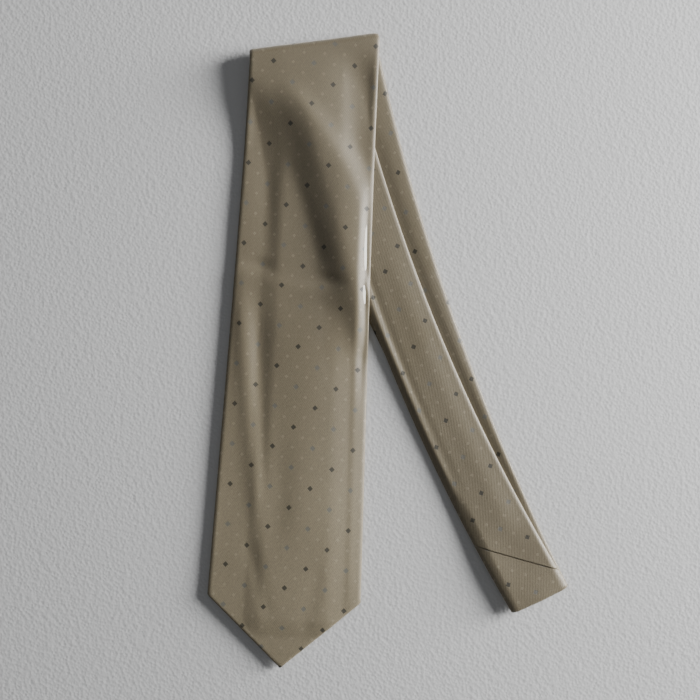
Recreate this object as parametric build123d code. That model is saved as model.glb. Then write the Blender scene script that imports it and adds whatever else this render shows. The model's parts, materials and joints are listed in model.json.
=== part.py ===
from build123d import *
from math import cos, sin, tan, radians
import os

# A classic three-piece necktie, lying flat and folded in half twice, in millimetres.
# Looked at from above, four layers lie on each other and are numbered by where the tie runs:
#   blade   the wide end, face up, on top of the stack
#   return  the wide end's other half, at the bottom, back of the tie up
#   neck    the narrow middle, face up, on top of the return
#   tail    the narrow end, face down, between the neck and the blade
# The blade fold (return to blade) and the tail fold (neck to tail) share one axis, because the
# tail fold is nested in the blade fold. The neck fold joins return and neck at the far end.
# +Z is up and the rest plane is z = 0. The plan is laid out from the middle of the blade fold, and
# the finished parts are then moved so that the origin is on the underside of the return, below its
# centreline and a short way in from the blade fold.

# Driving dimensions: lengths
BLADE_LENGTH = 374.5
RETURN_LENGTH = 357.0
NECK_LENGTH = 359.0
TAIL_LENGTH = 346.0
BLADE_HALF_FOLD = 38.5
BLADE_HALF_WIDEST = 46.4
NECK_HALF_NARROW = 17.0
NECK_HALF_FOLD = 18.5
TAIL_HALF_WIDEST = 20.5
POINT_HALF_ANGLE = 48.0

# Driving dimensions: headings, in degrees from -Y towards +X, looking away from the blade fold
BLADE_HEADING = -3.25
RETURN_HEADINGS = (18.0, 26.5)
NECK_HEADINGS = (12.5, 31.0)
TAIL_HEADING = -2.5
BLADE_FOLD_ANGLE = 7.6
NECK_FOLD_ANGLE = 25.5
NECK_START_X = 3.5
TAIL_START_X = 1.5

# Driving dimensions: thicknesses
LAYER = 2.5
LAYER_GAP = 0.1
CLOTH = 0.45
INTERLINING_CLEAR = 0.12
LINING = 0.25
EDGE_ROUND = 1.1
THREAD_R = 0.14
STITCH = 6.0
STITCH_PITCH = 9.0
STITCH_MARGIN = 8.0
LIFT_MARGIN = 2.0
SEAM_STITCH = 2.0
SEAM_PITCH = 2.8
BAR_PITCH = 0.4
BAR_BACK = 2.0
BAR_CLEAR = 5.0
TACK_MARGIN = 1.5
SEAM_SLIT = 0.7
FOLD_CLEAR = 0.25
TOUCH_GAP = 0.03

# Levels of the stack
LEVEL = {name: i * (LAYER + LAYER_GAP) for i, name in enumerate(("return", "neck", "tail", "blade"))}
FOLD_AXIS_Z = (LEVEL["return"] + LEVEL["blade"] + LAYER) / 2
NECK_FOLD_AXIS_Z = (LEVEL["return"] + LEVEL["neck"] + LAYER) / 2
TAIL_LOW = 0.75
KEEPER_ROOM = 0.7
BLADE_LOW = TAIL_LOW + LAYER + KEEPER_ROOM

# Where the two upper layers come down off the stack, as distances from the fold
TAIL_DROP = (115, 200)
BLADE_DROP = (130, 215)

# The free neck loop lifts about a line across both lower layers
LIFT_AT = 205.0
LIFT_ANGLE = 23.0
LIFT_GAP = 0.3

# Back of the two ends: hems, the openings that the tippings close, and what is sewn there
HEM = 8.0
TAIL_HEM = 5.0
BLADE_OPENING = 125.0
TAIL_OPENING = 62.0
TIPPING_LAP = 3.5
LINING_CLEAR = 1.0
KEEPER_AT = 166.0
KEEPER_WIDTH = 11.0
KEEPER_CLOTH = 0.5
KEEPER_FOOT = 5.0
KEEPER_EASE = 1.6
KEEPER_LIFT = 0.03
LABEL_CLOTH = 0.15
LABEL_AT = 146.0
LABEL_SIZE = (32.0, 14.0)
LABEL_TACK = 1.0

# Bias seams between the three shell pieces, as distances from the neck fold along the neck
FRONT_SEAM = 27.5
TAIL_SEAM = 319.0
SEAM_GAP = 0.12
SEAM_LAP = 4.0

# The origin's distance from the blade fold along the return
ORIGIN_AT = 20.0

FAR = 500.0
OVERRUN = 25.0


def direction(angle):
    """Unit vector of a heading."""
    return Vector(sin(radians(angle)), -cos(radians(angle)), 0)


def across(angle):
    """Unit vector to the +X side of a heading."""
    return Vector(cos(radians(angle)), sin(radians(angle)), 0)


class Strip:
    """One layer in plan: a centreline that is a straight line or an arc, and a half-width law."""

    def __init__(self, start, headings, length, half_width):
        self.start = Vector(*start, 0)
        self.headings = headings
        self.length = length
        self.half_width = half_width

    def heading(self, s):
        first, last = self.headings
        return first + (last - first) * s / self.length

    def centre(self, s):
        first, last = self.headings
        if first == last:
            return self.start + direction(first) * s
        turn = radians(last - first) / self.length
        a, b = radians(first), radians(self.heading(s))
        return self.start + Vector((cos(a) - cos(b)) / turn, -(sin(b) - sin(a)) / turn, 0)

    def at(self, s, t):
        """The plan point s along the centreline and t to its +X side."""
        return self.centre(s) + across(self.heading(s)) * t

    def edge(self, side, inset, s_from, s_to, count=6):
        """Points of one long edge, moved in by inset."""
        stations = [s_from + (s_to - s_from) * i / (count - 1) for i in range(count)]
        return [self.at(s, side * (self.half_width(min(max(s, 0), self.length)) - inset)) for s in stations]

    def outline(self, inset=0.0):
        """The strip in plan, run on past both of its ends."""
        right = Spline(*self.edge(1, inset, -OVERRUN, self.length + OVERRUN))
        left = Spline(*self.edge(-1, inset, -OVERRUN, self.length + OVERRUN))
        ends = Line(left @ 0, right @ 0) + Line(left @ 1, right @ 1)
        return make_face(right + left + ends)

    def pointed(self, hem_inset=0.0):
        """The strip in plan with a pointed end at its full length, every edge moved in by hem_inset."""
        point = self.length - hem_inset / sin(radians(POINT_HALF_ANGLE))
        corner = self.corner(hem_inset)
        right = Spline(*self.edge(1, hem_inset, -OVERRUN, corner))
        left = Spline(*self.edge(-1, hem_inset, -OVERRUN, corner))
        tip = self.at(point, 0)
        sides = Line(right @ 1, tip) + Line(tip, left @ 1) + Line(left @ 0, right @ 0)
        return make_face(right + left + sides)

    def corner(self, inset=0.0):
        """Distance along the strip where its pointed end starts."""
        half = self.half_width(self.length) - inset
        return self.length - inset / sin(radians(POINT_HALF_ANGLE)) - half / tan(radians(POINT_HALF_ANGLE))


def blade_half(s):
    return BLADE_HALF_FOLD + (BLADE_HALF_WIDEST - BLADE_HALF_FOLD) * min(s / 325, 1) ** 1.3


def return_half(s):
    return NECK_HALF_FOLD + (BLADE_HALF_FOLD - NECK_HALF_FOLD) * (1 - s / RETURN_LENGTH) ** 1.9


def neck_half(s):
    return NECK_HALF_NARROW + (NECK_HALF_FOLD - NECK_HALF_NARROW) * s / NECK_LENGTH


def tail_half(s):
    return NECK_HALF_NARROW + (TAIL_HALF_WIDEST - NECK_HALF_NARROW) * s / TAIL_LENGTH


blade = Strip((0, 0), (BLADE_HEADING, BLADE_HEADING), BLADE_LENGTH, blade_half)
back = Strip((0, 0), RETURN_HEADINGS, RETURN_LENGTH, return_half)
neck = Strip((NECK_START_X, 0), NECK_HEADINGS, NECK_LENGTH, neck_half)
tail = Strip((TAIL_START_X, 0), (TAIL_HEADING, TAIL_HEADING), TAIL_LENGTH, tail_half)


def line_frame(point, angle, z=0.0):
    """A frame on a line across the tie: local X runs on past the line, local Y is up, Z is along it."""
    return Plane(origin=Vector(point.X, point.Y, z), x_dir=direction(angle), z_dir=-across(angle))


def beyond(point, angle, gap=0.0):
    """Everything more than gap past a line across the tie, for cutting."""
    frame = line_frame(point, angle)
    return frame * Pos(FAR / 2 + gap, 0, 0) * Box(FAR, FAR, 2 * FAR)


def before(point, angle, gap=0.0):
    """Everything more than gap short of a line across the tie, for cutting."""
    frame = line_frame(point, angle)
    return frame * Pos(-FAR / 2 - gap, 0, 0) * Box(FAR, FAR, 2 * FAR)


def slab(outline, z, thickness):
    return Pos(0, 0, z) * extrude(outline, thickness)


def rolled(edges, body, inset):
    """The body with its outer edges rounded, less so the further it is moved in."""
    return fillet(edges, EDGE_ROUND - inset) if inset < EDGE_ROUND else body


def side_profile(high, low, drop, thickness):
    """A sheet seen from the side: level on the stack, down an S-bend, then level near the rest plane."""
    start, end = -drop[0], -drop[1]
    edges = []
    for z_high, z_low in ((high, low), (high + thickness, low + thickness)):
        edges += Line((OVERRUN, z_high), (start, z_high)).edges()
        edges += Spline((start, z_high), (end, z_low), tangents=((-1, 0), (-1, 0))).edges()
        edges += Line((end, z_low), (-FAR, z_low)).edges()
    edges += Line((OVERRUN, high), (OVERRUN, high + thickness)).edges()
    edges += Line((-FAR, low), (-FAR, low + thickness)).edges()
    face = make_face(edges)
    return extrude(Plane.YZ * face, FAR / 2, both=True)


def bend(point, angle, z, inner, outer, half_length):
    """Half a turn of cloth around a fold axis, on the far side of it."""
    frame = line_frame(point, angle, z)
    ring = Circle(outer) - Circle(inner)
    half = ring & Pos(outer, 0) * Rectangle(2 * outer, 4 * outer)
    return extrude(frame * half, half_length, both=True)


def stitches_along(strip, s_from, s_to, z):
    """Slip stitches one after another along the strip's centre seam."""
    count = int((s_to - s_from) / STITCH_PITCH)
    stitches = []
    for i in range(count):
        s = s_from + (i + 0.5) * STITCH_PITCH
        place = Plane(origin=strip.centre(s) + Vector(0, 0, z), x_dir=direction(strip.heading(s)), z_dir=(0, 0, 1))
        stitches.append(place * Box(STITCH, 2 * THREAD_R, 2 * THREAD_R))
    return stitches


def thread_bar(strip, s, half_length, z, count):
    """A bar tack: threads side by side across the strip's centre seam."""
    bars = []
    for i in range(count):
        at_s = s + (i - (count - 1) / 2) * BAR_PITCH
        left, right = (strip.at(at_s, side * half_length) + Vector(0, 0, z) for side in (-1, 1))
        bars.append(Plane(origin=left, z_dir=right - left) * extrude(Circle(THREAD_R), 2 * half_length))
    return Compound(children=bars)


def kite(strip, opening, hem, lap=0.0):
    """The opening in the back of a pointed end, or with a lap the lining behind it."""
    half = strip.half_width(strip.length) - hem + lap
    low = strip.length - (hem - lap) / sin(radians(POINT_HALF_ANGLE))
    side = low - half / tan(radians(POINT_HALF_ANGLE))
    top = strip.length - opening - lap
    corners = [strip.at(low, 0), strip.at(side, half), strip.at(top, 0), strip.at(side, -half)]
    return make_face(Polyline(*corners, close=True))


def slit(strip, s_from, s_to, z):
    """The gap of the centre seam in the back wall of a shell."""
    middle = (s_from + s_to) / 2
    right = Spline(*[strip.at(s, SEAM_SLIT / 2) for s in (s_from, middle, s_to)])
    left = Spline(*[strip.at(s, -SEAM_SLIT / 2) for s in (s_from, middle, s_to)])
    face = make_face(right + left + Line(left @ 0, right @ 0) + Line(left @ 1, right @ 1))
    return slab(face, z, CLOTH)


fold_point = Vector(0, 0, 0)
NEAR_SIDE = BLADE_FOLD_ANGLE
FAR_SIDE = BLADE_FOLD_ANGLE + 180
neck_fold_point = (back.centre(RETURN_LENGTH) + neck.centre(NECK_LENGTH)) * 0.5
lift_point = back.centre(LIFT_AT)
fold_outer = FOLD_AXIS_Z - LEVEL["return"]
tail_fold_outer = FOLD_AXIS_Z - LEVEL["neck"]
neck_fold_outer = NECK_FOLD_AXIS_Z - LEVEL["return"]


def flat_layer(strip, level, inset):
    """One of the two lower layers as a plain slab between the two folds, moved in on every side."""
    body = slab(strip.outline(inset), LEVEL[level] + inset, LAYER - 2 * inset)
    body = body - before(fold_point, NEAR_SIDE) - beyond(neck_fold_point, NECK_FOLD_ANGLE)
    return rolled([edge for edge in body.edges() if edge.length > FAR / 4], body, inset)


def turned_layers(inset):
    """Both lower layers and the neck fold, moved in on every side."""
    turn = bend(neck_fold_point, NECK_FOLD_ANGLE, NECK_FOLD_AXIS_Z,
                neck_fold_outer - LAYER + inset, neck_fold_outer - inset, NECK_HALF_FOLD - inset)
    return flat_layer(back, "return", inset), flat_layer(neck, "neck", inset), turn


def fold_turn(outer, half_length, inset):
    """The cloth around the shared axis of the blade and tail folds, moved in on every side."""
    return bend(fold_point, FAR_SIDE, FOLD_AXIS_Z, outer - LAYER + inset, outer - inset, half_length - inset)


def seam_frame(distance):
    """A frame on a 45 degree bias seam of the neck: local X runs towards the neck fold."""
    s = NECK_LENGTH - distance
    return Plane(origin=neck.centre(s), x_dir=-across(neck.heading(s) + 45), z_dir=(0, 0, 1))


def seam_side(distance, towards_fold):
    """The space on one side of a bias seam, and half the seam's gap on the other, for cutting."""
    middle = (FAR / 2 - SEAM_GAP / 2) * (1 if towards_fold else -1)
    return seam_frame(distance) * Pos(middle, 0, 0) * Box(FAR, 2 * FAR, 6 * LAYER)


INTERLINING_INSET = CLOTH + INTERLINING_CLEAR
SEAM_BACK = {"return": LEVEL["return"] + LAYER - CLOTH, "neck": LEVEL["neck"]}


def loop_side(body):
    """What lies past the line that the free neck loop lifts about."""
    return body - before(lift_point, LIFT_ANGLE, -LIFT_GAP / 2)


def base_side(body):
    """What lies short of the line that the free neck loop lifts about."""
    return body - beyond(lift_point, LIFT_ANGLE, -LIFT_GAP / 2)


def lower_shells():
    """The silk of the return, the neck and both of their folds, cut at the bias seams and the lift line."""
    outer, inner = turned_layers(0), turned_layers(CLOTH)
    return_tube = outer[0] - inner[0] - slit(back, -OVERRUN, RETURN_LENGTH - SEAM_LAP, SEAM_BACK["return"])
    neck_tube = outer[1] - inner[1] - slit(neck, -OVERRUN, NECK_LENGTH - SEAM_LAP, SEAM_BACK["neck"])
    turn = outer[2] - inner[2]
    blade_turn = fold_turn(fold_outer, BLADE_HALF_FOLD, 0) - fold_turn(fold_outer, BLADE_HALF_FOLD, CLOTH)
    tail_turn = (fold_turn(tail_fold_outer, NECK_HALF_NARROW, 0)
                 - fold_turn(tail_fold_outer, NECK_HALF_NARROW, CLOTH))
    front_part = neck_tube - seam_side(FRONT_SEAM, False)
    middle_part = neck_tube - seam_side(FRONT_SEAM, True) - seam_side(TAIL_SEAM, False)
    tail_part = neck_tube - seam_side(TAIL_SEAM, True)
    return {
        "return_shell": base_side(return_tube) + blade_turn,
        "neck_end_shell": loop_side(return_tube) + turn + front_part,
        "neck_loop_shell": loop_side(middle_part),
        "neck_base_shell": base_side(middle_part),
        "tail_fold_shell": tail_part + tail_turn,
    }


def lower_interlinings():
    core = turned_layers(INTERLINING_INSET)
    return {
        "return_interlining": base_side(core[0]) + fold_turn(fold_outer, BLADE_HALF_FOLD, INTERLINING_INSET),
        "neck_loop_interlining": loop_side(core[0]) + loop_side(core[1]) + core[2],
        "neck_base_interlining": (base_side(core[1])
                                  + fold_turn(tail_fold_outer, NECK_HALF_NARROW, INTERLINING_INSET)),
    }


def lower_threads():
    """The slip stitching that closes the centre seams of the return and the neck."""
    return_z = SEAM_BACK["return"] + CLOTH / 2
    neck_z = SEAM_BACK["neck"] + CLOTH / 2
    seam_margin = 3 * STITCH_MARGIN
    under = stitches_along(back, LIFT_AT + LIFT_MARGIN, RETURN_LENGTH - STITCH_MARGIN, return_z)
    over = stitches_along(neck, LIFT_AT + STITCH_MARGIN, NECK_LENGTH - FRONT_SEAM - seam_margin, neck_z)
    base = stitches_along(neck, NECK_LENGTH - TAIL_SEAM + seam_margin, LIFT_AT - STITCH_MARGIN, neck_z)
    start = stitches_along(back, STITCH_MARGIN, LIFT_AT - LIFT_MARGIN, return_z)
    return {
        "return_slip_stitch": Compound(children=start),
        "neck_base_slip_stitch": Compound(children=base),
        "neck_loop_slip_stitch": Compound(children=under + over),
    }


def seam_thread(distance):
    """The row of machine stitches of a bias seam, lying in the seam between two shell pieces."""
    half = (neck.half_width(NECK_LENGTH - distance) - SEAM_STITCH) / cos(radians(45))
    count = int(2 * half / SEAM_PITCH)
    z = LEVEL["neck"] + LAYER - CLOTH / 2
    stitch = Box(SEAM_GAP * 0.7, SEAM_STITCH, CLOTH * 0.6)
    places = [Pos(0, (i - (count - 1) / 2) * SEAM_PITCH, z) for i in range(count)]
    return Compound(children=[seam_frame(distance) * place * stitch for place in places])


def end_layer(strip, high, low, drop, start_gap, inset):
    """The blade or the tail as a plain body that starts start_gap past the fold line, moved in by inset."""
    plan = slab(strip.pointed(inset), -LAYER, FAR / 8)
    side = side_profile(high + inset, low + inset, drop, LAYER - 2 * inset)
    body = (plan & side) - before(fold_point, NEAR_SIDE, -start_gap)
    edges = [edge for edge in body.edges()
             if edge.length > 2 * LAYER and abs((edge % 0.5).dot(across(NEAR_SIDE))) < 0.99]
    return rolled(edges, body, inset)


def centre_seam(strip, opening, high, low, drop):
    """The gap of the centre seam of a pointed end, from the fold to its opening."""
    end = strip.length - opening + BAR_BACK
    side = SEAM_SLIT / 2
    plan = make_face(Polyline(strip.at(0, -side), strip.at(0, side), strip.at(end, side), strip.at(end, -side),
                              close=True))
    return slab(plan, -LAYER, FAR / 8) & side_profile(high, low, drop, CLOTH)


def blade_nodes():
    """The blade: hollow silk with an open back, interlining, tipping and what is sewn to the back."""
    gap = fold_outer + FOLD_CLEAR
    shape = (blade, LEVEL["blade"], BLADE_LOW, BLADE_DROP, gap)
    opening = slab(kite(blade, BLADE_OPENING, HEM), BLADE_LOW, CLOTH)
    seam = centre_seam(blade, BLADE_OPENING, LEVEL["blade"], BLADE_LOW, BLADE_DROP)
    lining_room = slab(kite(blade, BLADE_OPENING, HEM, TIPPING_LAP + LINING_CLEAR), BLADE_LOW,
                       CLOTH + LINING + INTERLINING_CLEAR)
    seam_end = BLADE_LENGTH - BLADE_OPENING
    low_thread = stitches_along(blade, BLADE_DROP[1] + 1, seam_end - BAR_CLEAR, BLADE_LOW + CLOTH / 2)
    top_thread = stitches_along(blade, gap + STITCH, BLADE_DROP[0] - STITCH, LEVEL["blade"] + CLOTH / 2)
    return {
        "blade_shell": end_layer(*shape, 0) - end_layer(*shape, CLOTH) - opening - seam,
        "blade_interlining": end_layer(*shape, INTERLINING_INSET) - lining_room,
        "blade_tipping": slab(kite(blade, BLADE_OPENING, HEM, TIPPING_LAP), BLADE_LOW + CLOTH + TOUCH_GAP, LINING),
        "blade_bar_tack": thread_bar(blade, seam_end - BAR_BACK, 4, BLADE_LOW - THREAD_R - TOUCH_GAP, 4),
        "blade_slip_stitch": Compound(children=low_thread + top_thread),
    }


def tail_nodes():
    """The tail: face down, so its open back is on the upper side."""
    gap = fold_outer + FOLD_CLEAR
    shape = (tail, LEVEL["tail"], TAIL_LOW, TAIL_DROP, gap)
    back_wall = LAYER - CLOTH
    opening = slab(kite(tail, TAIL_OPENING, TAIL_HEM), TAIL_LOW + back_wall, CLOTH)
    seam = centre_seam(tail, TAIL_OPENING, LEVEL["tail"] + back_wall, TAIL_LOW + back_wall, TAIL_DROP)
    lining_z = TAIL_LOW + back_wall - TOUCH_GAP - LINING
    lining_room = slab(kite(tail, TAIL_OPENING, TAIL_HEM, TIPPING_LAP), lining_z - 0.1, LAYER)
    seam_end = TAIL_LENGTH - TAIL_OPENING
    tack_z = TAIL_LOW + LAYER + THREAD_R + TOUCH_GAP
    low_thread = stitches_along(tail, TAIL_DROP[1] + 1, seam_end - BAR_CLEAR, TAIL_LOW + back_wall + CLOTH / 2)
    top_thread = stitches_along(tail, gap + STITCH, TAIL_DROP[0] - STITCH, LEVEL["tail"] + back_wall + CLOTH / 2)
    return {
        "tail_shell": end_layer(*shape, 0) - end_layer(*shape, CLOTH) - opening - seam,
        "tail_interlining": end_layer(*shape, INTERLINING_INSET) - lining_room,
        "tail_tipping": slab(kite(tail, TAIL_OPENING, TAIL_HEM, TIPPING_LAP - LINING_CLEAR), lining_z, LINING),
        "tail_bar_tack": thread_bar(tail, seam_end - BAR_BACK, 3, tack_z, 3),
        "tail_slip_stitch": Compound(children=low_thread + top_thread),
    }


def keeper_nodes():
    """The keeper loop on the blade's back, which holds the tail, and the tacks that hold its two feet."""
    s = BLADE_LENGTH - KEEPER_AT
    place = Plane(origin=blade.centre(s), x_dir=across(BLADE_HEADING), z_dir=(0, 0, 1))
    tail_offset = (tail.centre(s) - blade.centre(s)).dot(across(BLADE_HEADING))
    inside = 2 * (tail.half_width(s) + KEEPER_EASE)
    outside = inside + 2 * KEEPER_CLOTH
    height = BLADE_LOW - KEEPER_LIFT
    on_base = (Align.CENTER, Align.CENTER, Align.MIN)
    block = Box(outside, KEEPER_WIDTH, height, align=on_base)
    feet = Box(outside + 2 * KEEPER_FOOT, KEEPER_WIDTH, KEEPER_CLOTH, align=on_base)
    hollow = Pos(0, 0, KEEPER_CLOTH) * Box(inside, 2 * KEEPER_WIDTH, height, align=on_base)
    loop = Pos(tail_offset, 0, KEEPER_LIFT) * (block + Pos(0, 0, height - KEEPER_CLOTH) * feet - hollow)
    tack_x = outside / 2 + KEEPER_FOOT / 2
    tack_z = BLADE_LOW - KEEPER_CLOTH - THREAD_R - TOUCH_GAP
    bars = [Pos(tail_offset + side * tack_x, 0, tack_z) * Rot(90, 0, 0)
            * extrude(Circle(THREAD_R), KEEPER_WIDTH / 2 - TACK_MARGIN, both=True) for side in (-1, 1)]
    return {"keeper_loop": place * loop, "keeper_tacks": place * Compound(children=bars)}


def label_nodes():
    """A blank woven label above the keeper loop, and a tack at each of its corners."""
    place = Plane(origin=blade.centre(BLADE_LENGTH - LABEL_AT), x_dir=across(BLADE_HEADING), z_dir=(0, 0, 1))
    width, depth = LABEL_SIZE
    label_z = BLADE_LOW - LABEL_CLOTH - TOUCH_GAP
    tack_z = label_z - THREAD_R - TOUCH_GAP
    tacks = [Pos(x * (width / 2 - 2 * LABEL_TACK), y * (depth / 2 - LABEL_TACK), tack_z) * Rot(0, 90, 0)
             * extrude(Circle(THREAD_R), LABEL_TACK, both=True) for x in (-1, 1) for y in (-1, 1)]
    label = Pos(0, 0, label_z + LABEL_CLOTH / 2) * Box(width, depth, LABEL_CLOTH)
    return {"blank_label": place * label, "label_tacks": place * Compound(children=tacks)}


nodes = {**lower_shells(), **lower_interlinings(), **lower_threads()}
nodes.update({**blade_nodes(), **tail_nodes(), **keeper_nodes(), **label_nodes()})
nodes["front_join_stitches"] = seam_thread(FRONT_SEAM)
nodes["tail_join_stitches"] = seam_thread(TAIL_SEAM)

origin = back.centre(ORIGIN_AT)
to_origin = Pos(-origin.X, -origin.Y, 0)
os.makedirs("parts", exist_ok=True)
for name, shape in nodes.items():
    export_step(to_origin * shape, f"parts/{name}.step")

print("fold axis", tuple(fold_point - origin), FOLD_AXIS_Z, tuple(across(BLADE_FOLD_ANGLE)))
print("lift axis", tuple(lift_point - origin), LEVEL["neck"] + LAYER, tuple(across(LIFT_ANGLE)))
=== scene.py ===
import json
import math
import bpy
import numpy as np
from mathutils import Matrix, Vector


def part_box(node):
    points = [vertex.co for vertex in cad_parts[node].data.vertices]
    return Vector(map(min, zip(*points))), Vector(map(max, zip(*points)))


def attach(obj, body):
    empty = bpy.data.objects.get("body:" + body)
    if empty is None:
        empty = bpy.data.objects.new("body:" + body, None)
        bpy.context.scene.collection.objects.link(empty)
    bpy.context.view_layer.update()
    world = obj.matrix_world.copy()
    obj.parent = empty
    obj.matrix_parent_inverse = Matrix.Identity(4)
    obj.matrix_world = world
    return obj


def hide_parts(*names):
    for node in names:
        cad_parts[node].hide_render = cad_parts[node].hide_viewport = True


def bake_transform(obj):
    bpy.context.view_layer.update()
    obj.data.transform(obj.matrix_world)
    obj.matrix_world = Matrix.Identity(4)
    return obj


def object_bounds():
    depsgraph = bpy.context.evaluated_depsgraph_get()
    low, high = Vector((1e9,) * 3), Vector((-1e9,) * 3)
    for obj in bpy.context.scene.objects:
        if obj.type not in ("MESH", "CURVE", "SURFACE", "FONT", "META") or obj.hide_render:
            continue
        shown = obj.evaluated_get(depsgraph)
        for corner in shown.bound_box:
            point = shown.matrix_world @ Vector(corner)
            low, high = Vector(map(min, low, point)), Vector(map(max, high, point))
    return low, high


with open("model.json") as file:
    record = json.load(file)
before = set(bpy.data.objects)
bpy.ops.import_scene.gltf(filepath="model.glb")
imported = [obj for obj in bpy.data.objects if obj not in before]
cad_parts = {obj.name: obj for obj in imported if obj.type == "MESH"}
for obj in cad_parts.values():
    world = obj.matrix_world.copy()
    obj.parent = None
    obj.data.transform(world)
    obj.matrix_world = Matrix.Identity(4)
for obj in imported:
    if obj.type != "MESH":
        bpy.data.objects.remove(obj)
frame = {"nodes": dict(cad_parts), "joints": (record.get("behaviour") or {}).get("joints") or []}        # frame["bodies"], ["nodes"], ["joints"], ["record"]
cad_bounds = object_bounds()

# A folded necktie. Lengths are metres in the row frame. Each layer of cloth is laid out in cloth
# coordinates: s runs along the strip from its upper fold, t across it, and d is the height above
# the middle of the layer, towards the face of the cloth.

MM = 0.001

# Thicknesses, how far in from an edge the cloth's roll starts, how high a stiff layer stands off the
# floor, and the gap between layers that have settled
LAYER_THICK = 2.0 * MM
CAD_HALF_THICK = 1.25 * MM
CLOTH = 0.3 * MM
ROLL = 2.6 * MM
STIFF_RISE = 2.2 * MM
SETTLE_GAP = 0.2 * MM

# Pointed ends: the slope of the point; the open stretch of the back, its hem and the lining's lap;
# how much shorter and narrower the silk and the interlining are than the layer
POINT = math.tan(math.radians(48))
BLADE_OPENING, BLADE_HEM, BLADE_LAP = 125 * MM, 8 * MM, 3.5 * MM
TAIL_OPENING, TAIL_HEM, TAIL_LAP = 62 * MM, 5 * MM, 2.5 * MM
TIP_TRIM = 0.3 * MM
CORE_TRIM = 2 * MM
CORE_INSET = 1.6 * MM

# Seams: the front one from the neck fold, with its jump in the pattern, and the hidden one; the cuts
# where one visual piece of shell or interlining ends and the next starts; how deep a seam sinks in
FRONT_SEAM = 27.5 * MM
FRONT_SEAM_SHIFT = 5.1 * MM
HIDDEN_SEAM = 40 * MM
SHELL_CUT = 150 * MM
CORE_CUT = HIDDEN_SEAM + 50 * MM
SEAM_SINK = 0.35 * MM

# Sewing
THREAD_R = 0.13 * MM
STITCH, STITCH_PITCH = 6 * MM, 9 * MM
MACHINE_STITCH, MACHINE_PITCH = 1.7 * MM, 2.6 * MM
LABEL_HALF = (16 * MM, 7 * MM)
KEEPER_HALF_WIDTH = 5.5 * MM
KEEPER_FOOT = 5 * MM

# Mesh density
FRONT_COLUMNS = 72
FLAP_COLUMNS = 14
ROW_STEP = 1.5 * MM
FOLD_ROW_STEP = 0.6 * MM

# How the CAD layers are measured: the level lines, the y range of the fitted layer and its steps, and
# an s past the end of every layer
LEVEL_LINES = 25
Y_RANGE = (0.05, -0.4)
Y_STEPS = 900
WIDTH_DEGREE = 3
LAYER_END = 1.0

joints = {j["name"]: j for j in frame["joints"]}
fold_at = np.array(joints["blade_fold"]["pos_m"])
fold_along = -np.array(joints["blade_fold"]["axis"])
lift_at = np.array(joints["neck_lift"]["pos_m"])
lift_along = -np.array(joints["neck_lift"]["axis"])


def smooth(x):
    """Smooth step from 0 to 1."""
    x = np.clip(x, 0, 1)
    return x * x * (3 - 2 * x)


# ---- Layers measured on the CAD nodes

def sides(names, y, z):
    """Left and right x of some CAD nodes where a level line at y and z crosses them."""
    found = []
    for name in names:
        node = frame["nodes"][name]
        to_node = node.matrix_world.inverted()
        for start, way in ((-1, 1), (1, -1)):
            origin = to_node @ Vector((start, y, z))
            hit, place, _, _ = node.ray_cast(origin, to_node.to_3x3() @ Vector((way, 0, 0)))
            if hit:
                found.append((node.matrix_world @ place).x)
    return (min(found), max(found)) if len(found) > 1 else None


class Layer:
    """One layer in plan: its centreline and half-width, fitted to the CAD nodes.

    degree is that of the polynomial for the centreline.
    """

    def __init__(self, names, height, y_from, y_to, degree):
        rows = [(y, sides(names, y, height(y))) for y in np.linspace(y_from, y_to, LEVEL_LINES)]
        rows = [(y, cut) for y, cut in rows if cut]
        y = np.array([r[0] for r in rows])
        left, right = (np.array([r[1][i] for r in rows]) for i in (0, 1))
        middle = np.polyfit(y, (left + right) / 2, degree)
        slope = np.polyder(middle)
        lean = np.cos(np.arctan(np.polyval(slope, y)))
        width = np.polyfit(y, (right - left) / 2 * lean, WIDTH_DEGREE)
        self.y = np.linspace(*Y_RANGE, Y_STEPS)
        self.x = np.polyval(middle, self.y)
        self.heading = np.arctan(-np.polyval(slope, self.y))
        self.half_width = np.polyval(width, self.y)
        self.s = np.concatenate([[0], np.cumsum(np.hypot(np.diff(self.x), np.diff(self.y)))])
        gap = (self.y - fold_at[1]) * fold_along[0] - (self.x - fold_at[0]) * fold_along[1]
        self.s -= np.interp(0, -gap, self.s)

    def read(self, s, values):
        return np.interp(s, self.s, values)

    def half(self, s):
        return self.read(s, self.half_width)

    def at(self, s, t):
        """Plan x and y of a cloth point."""
        a = self.read(s, self.heading)
        return self.read(s, self.x) + t * np.cos(a), self.read(s, self.y) + t * np.sin(a)

    def find(self, x, y):
        """Cloth s and t of a plan point."""
        level_s = np.interp(-y, -self.y, self.s)
        a = self.read(level_s, self.heading)
        t = (x - self.read(level_s, self.x)) * np.cos(a)
        return level_s + t * np.sin(a), t

    def cover(self, x, y, soft, end=LAYER_END, shift=0.0):
        """How far a plan point is inside the layer, 0 to 1, with a soft border moved out by shift."""
        s, t = self.find(x, y)
        inside = smooth((self.half(s) + shift - np.abs(t)) / soft + 0.5)
        return inside * smooth((end + shift - s) / soft + 0.5)


def low_z(name):
    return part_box(name)[0][2]


def high_z(name):
    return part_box(name)[1][2]


blade_low, blade_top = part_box("blade_shell")
tail_low, tail_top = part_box("tail_shell")
levels = {
    "return": LAYER_THICK / 2 + 0.1 * MM,
    "neck": (low_z("neck_loop_shell") + high_z("neck_loop_shell")) / 2,
    "tail": tail_top[2] - CAD_HALF_THICK,
    "blade": blade_top[2] - CAD_HALF_THICK,
}
end_low = {"blade": blade_low[2] + CAD_HALF_THICK, "tail": tail_low[2] + CAD_HALF_THICK}


def coming_down(name, start, end):
    """The height at y of an upper layer that comes down off the stack between two stations."""
    return lambda y: np.interp(-y, [start, end], [levels[name], end_low[name]])


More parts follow.
